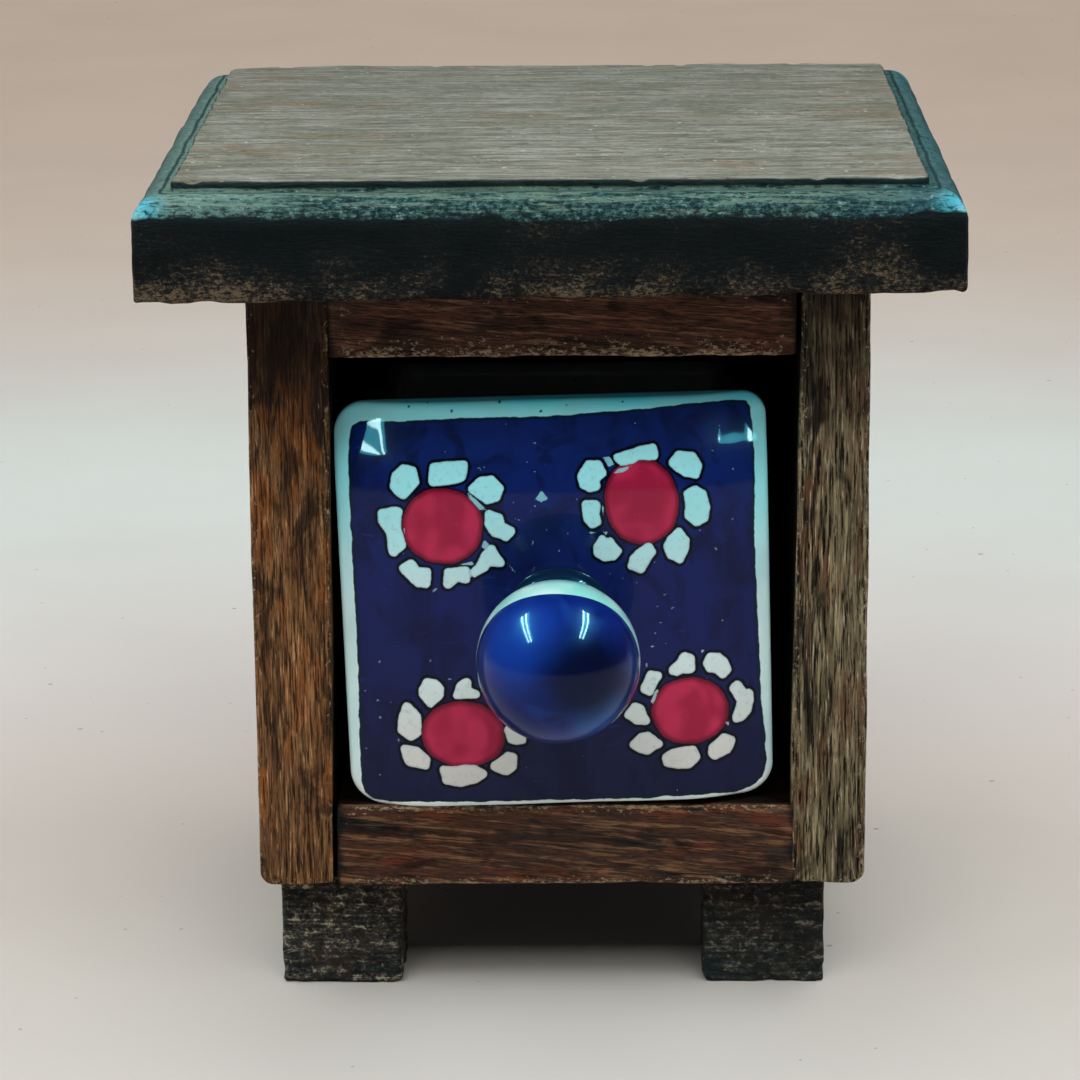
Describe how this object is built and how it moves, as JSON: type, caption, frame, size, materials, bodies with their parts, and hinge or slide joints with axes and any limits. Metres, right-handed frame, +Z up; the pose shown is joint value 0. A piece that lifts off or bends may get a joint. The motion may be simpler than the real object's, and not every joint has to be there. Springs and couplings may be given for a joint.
{
  "type": "mini chest",
  "caption": "Small square wooden chest with an overhanging moulded top, block feet and a pull-out glazed ceramic drawer with a ball knob.",
  "frame": {"origin": "on the surface the chest stands on, under the middle of its whole outline, knob included", "axes": "+Z up, -Y is the drawer's side (front), +X to the right seen from the front"},
  "size_m": [0.115, 0.1332, 0.1222],
  "materials": {
    "top_wood": "worn dark stain, waxed",
    "left_side_wood": "worn dark stain, waxed",
    "right_side_wood": "worn dark stain, waxed",
    "rail_wood": "worn dark stain, waxed",
    "back_wood": "dark stain",
    "foot_wood": "rough sawn end grain, near-black stain",
    "painted_glaze": "hand painted under clear gloss glaze",
    "white_glaze": "gloss glaze",
    "knob_glaze": "hand painted under clear gloss glaze",
    "nail_steel": "dull drawn wire",
    "screw_steel": "zinc plated"
  },
  "bodies": {
    "case": {"top_board": "top_wood", "left_side": "left_side_wood", "right_side": "right_side_wood", "inner_top_board": "rail_wood", "bottom_board": "rail_wood", "back_panel": "back_wood", "foot_front_left": "foot_wood", "foot_front_right": "foot_wood", "foot_back_left": "foot_wood", "foot_back_right": "foot_wood", "side_nails": "nail_steel", "top_screws": "screw_steel", "foot_nails": "nail_steel", "back_pins": "nail_steel"},
    "drawer": {"drawer_front": "painted_glaze", "drawer_tub": "white_glaze", "drawer_knob": "knob_glaze"}
  },
  "joints": [
    {"name": "drawer_slide", "type": "slide", "parent": "case", "child": "drawer", "axis": [0, -1, 0], "range_m": [0, 0.074]}
  ]
}
